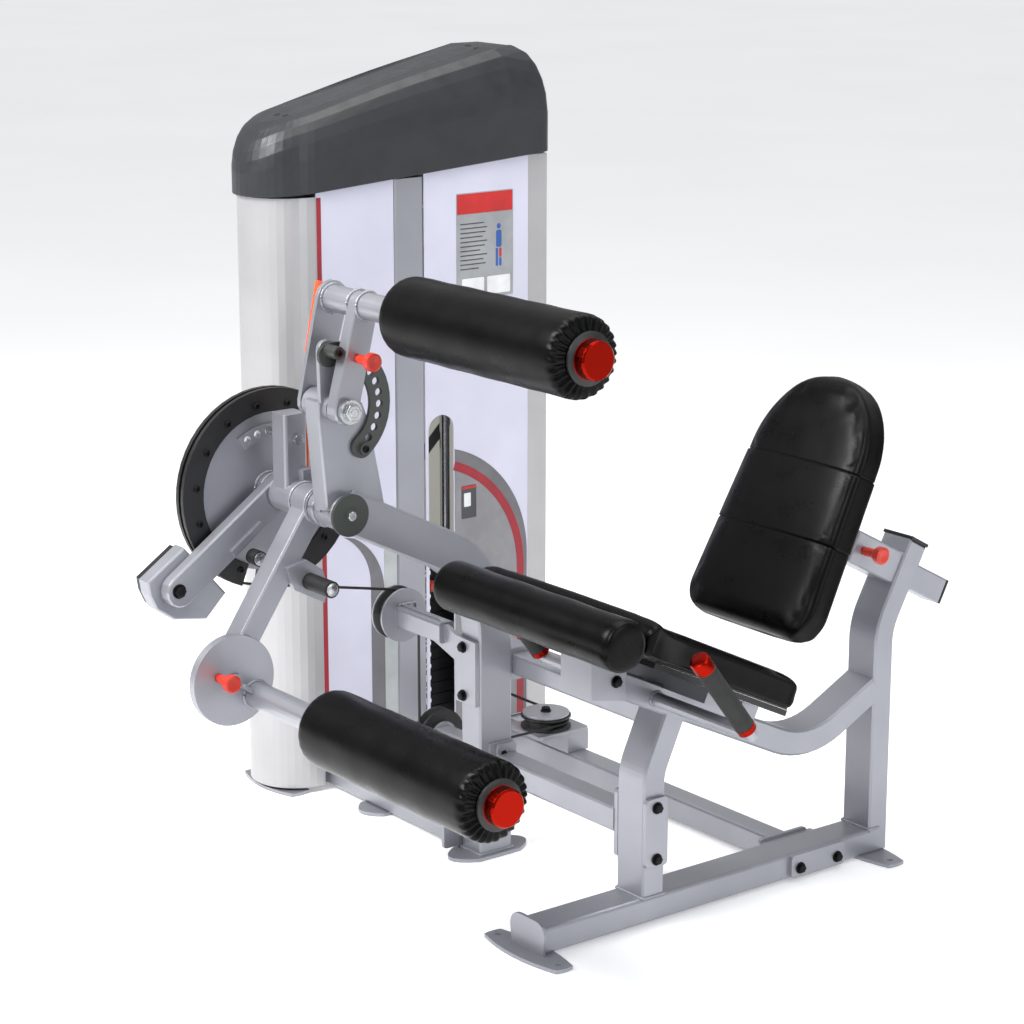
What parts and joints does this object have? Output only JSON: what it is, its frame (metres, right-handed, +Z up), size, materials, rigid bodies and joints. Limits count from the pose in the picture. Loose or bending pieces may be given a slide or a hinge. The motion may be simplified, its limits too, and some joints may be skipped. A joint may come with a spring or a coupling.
{
  "type": "selectorised leg extension machine",
  "caption": "Gym leg extension machine with a padded seat and backrest, a pivoting exercise arm on a cam, a thigh hold-down arm and an enclosed selectorised weight stack.",
  "frame": {"origin": "centre of the machine's bounding box at floor level", "axes": "+Z up; +X from the weight tower towards the seat; the user sits facing -Y"},
  "size_m": [1.452, 1.416, 1.5277],
  "materials": {
    "frame_paint": "silver-grey powder coat, satin",
    "panel_white": "off-white powder coat, satin",
    "cap_charcoal": "moulded charcoal plastic",
    "vinyl_black": "black upholstery vinyl, semi-gloss",
    "black_plastic": "moulded black nylon",
    "rubber_black": "black rubber, matt",
    "dark_steel": "dark grey coat, semi-gloss",
    "red_plastic": "red moulded plastic",
    "red_anodised": "red anodised, turned",
    "orange_grip": "orange dipped vinyl",
    "bright_steel": "bright plated steel",
    "stack_iron": "black painted iron, matt",
    "cable_black": "black nylon-coated cable"
  },
  "bodies": {
    "frame": {"seat_frame": "frame_paint", "seat_board": "black_plastic", "seat_pad": "vinyl_black", "seat_roll": "vinyl_black", "handle_left": "frame_paint", "grip_left": "rubber_black", "handle_right": "frame_paint", "grip_right": "rubber_black", "main_post": "frame_paint", "hub_cap": "dark_steel", "index_plate": "dark_steel", "cross_tube_front": "frame_paint", "cross_tube_rear": "frame_paint", "cross_tube_upper": "frame_paint", "cross_tube_base": "frame_paint", "idler_bracket": "frame_paint", "tower_frame": "frame_paint", "tower_column": "frame_paint", "tower_rear_channel": "frame_paint", "panel_front": "panel_white", "panel_rear": "panel_white", "panel_far": "panel_white", "tower_cap": "cap_charcoal", "stack_resting": "stack_iron", "guide_rod_front": "bright_steel", "stack_buffer_front": "rubber_black", "guide_rod_rear": "bright_steel", "stack_buffer_rear": "rubber_black", "floor_pulley_bracket": "frame_paint", "cable_main": "cable_black", "cable_drop": "cable_black"},
    "backrest": {"backrest_slide": "frame_paint", "back_pad": "vinyl_black"},
    "backrest_pin": {"backrest_pop_pin": "red_plastic"},
    "cam": {"cam_plate": "frame_paint", "cam_rim": "black_plastic", "counterweight": "frame_paint", "counterweight_core": "black_plastic", "bumper_cam": "rubber_black", "cable_wrap": "cable_black"},
    "leg": {"leg_arm": "frame_paint", "bumper_arm": "rubber_black"},
    "lever": {"start_lever": "orange_grip"},
    "plunger": {"start_plunger": "bright_steel"},
    "shin": {"shin_carrier": "frame_paint"},
    "shin_pin": {"shin_pop_pin": "red_plastic"},
    "shin_roll": {"shin_pad": "vinyl_black", "shin_cap": "red_anodised"},
    "thigh": {"thigh_arm": "frame_paint"},
    "thigh_pin": {"thigh_pop_pin": "red_plastic"},
    "thigh_roll": {"thigh_pad": "vinyl_black", "thigh_cap": "red_anodised"},
    "stack": {"stack_lifted": "stack_iron"},
    "selector": {"selector_pin": "red_plastic"},
    "idler_wheel": {"idler_pulley": "black_plastic"},
    "post_wheel": {"post_pulley": "black_plastic"},
    "floor_wheel": {"floor_pulley": "black_plastic"},
    "base_wheel": {"tower_base_pulley": "black_plastic"},
    "top_wheel": {"tower_top_pulley": "black_plastic"}
  },
  "joints": [
    {"name": "exercise", "type": "hinge", "parent": "frame", "child": "cam", "pos_m": [-0.269, -0.41969, 0.748], "axis": [-1, 0, 0], "range_deg": [0, 82]},
    {"name": "leg_start", "type": "hinge", "parent": "cam", "child": "leg", "pos_m": [-0.142, -0.41969, 0.748], "axis": [-1, 0, 0], "range_deg": [-25, 13]},
    {"name": "start_lever", "type": "hinge", "parent": "leg", "child": "lever", "pos_m": [-0.181, -0.38769, 0.789], "axis": [0, 1, 0], "range_deg": [0, 9.4]},
    {"name": "start_plunger", "type": "slide", "parent": "leg", "child": "plunger", "axis": [1, 0, 0], "range_m": [0, 0.013], "stiffness_N_per_m": 600},
    {"name": "shin_adjust", "type": "hinge", "parent": "leg", "child": "shin", "pos_m": [-0.082, -0.62205, 0.4479], "axis": [1, 0, 0], "range_deg": [-90, 90]},
    {"name": "shin_pin", "type": "slide", "parent": "shin", "child": "shin_pin", "axis": [1, 0, 0], "range_m": [0, 0.012], "stiffness_N_per_m": 600},
    {"name": "shin_roll", "type": "hinge", "parent": "shin", "child": "shin_roll", "pos_m": [0.418, -0.57605, 0.4129], "axis": [1, 0, 0], "continuous": true},
    {"name": "thigh_adjust", "type": "hinge", "parent": "frame", "child": "thigh", "pos_m": [-0.012, -0.43969, 0.95], "axis": [-1, 0, 0], "range_deg": [0, 117.6]},
    {"name": "thigh_pin", "type": "slide", "parent": "thigh", "child": "thigh_pin", "axis": [1, 0, 0], "range_m": [0, 0.012], "stiffness_N_per_m": 600},
    {"name": "thigh_roll", "type": "hinge", "parent": "thigh", "child": "thigh_roll", "pos_m": [0.418, -0.39169, 1.137], "axis": [1, 0, 0], "continuous": true},
    {"name": "backrest_slide", "type": "slide", "parent": "frame", "child": "backrest", "axis": [0, 0.8829, -0.4695], "range_m": [-0.08, 0.1]},
    {"name": "backrest_pin", "type": "slide", "parent": "frame", "child": "backrest_pin", "axis": [1, 0, 0], "range_m": [0, 0.012], "stiffness_N_per_m": 600},
    {"name": "stack_lift", "type": "slide", "parent": "frame", "child": "stack", "axis": [0, 0, 1], "range_m": [0, 0.28], "deforming": ["cable_drop"]},
    {"name": "selector", "type": "slide", "parent": "stack", "child": "selector", "axis": [1, 0, 0], "range_m": [0, 0.06]},
    {"name": "idler_turn", "type": "hinge", "parent": "frame", "child": "idler_wheel", "pos_m": [-0.269, -0.11569, 0.443], "axis": [1, 0, 0], "range_deg": [0, 330]},
    {"name": "post_turn", "type": "hinge", "parent": "frame", "child": "post_wheel", "pos_m": [-0.269, -0.01969, 0.169], "axis": [-1, 0, 0], "range_deg": [0, 330]},
    {"name": "floor_turn", "type": "hinge", "parent": "frame", "child": "floor_wheel", "pos_m": [-0.317, 0.29831, 0.121], "axis": [0, 0, -1], "range_deg": [0, 330]},
    {"name": "base_turn", "type": "hinge", "parent": "frame", "child": "base_wheel", "pos_m": [-0.58, 0.34631, 0.163], "axis": [0, -1, 0], "range_deg": [0, 376]},
    {"name": "top_turn", "type": "hinge", "parent": "frame", "child": "top_wheel", "pos_m": [-0.622, 0.25931, 1.11], "axis": [-1, 0, 0], "range_deg": [0, 184]}
  ],
  "couplings": [
    {"joint": "start_plunger", "follows": "start_lever", "m_per_rad": 0.073},
    {"joint": "stack_lift", "follows": "exercise", "m_per_rad": 0.19},
    {"joint": "idler_turn", "follows": "exercise", "ratio": 3.9583},
    {"joint": "post_turn", "follows": "exercise", "ratio": 3.9583},
    {"joint": "floor_turn", "follows": "exercise", "ratio": 3.9583},
    {"joint": "base_turn", "follows": "exercise", "ratio": 4.5238},
    {"joint": "top_turn", "follows": "exercise", "ratio": 2.1839}
  ]
}
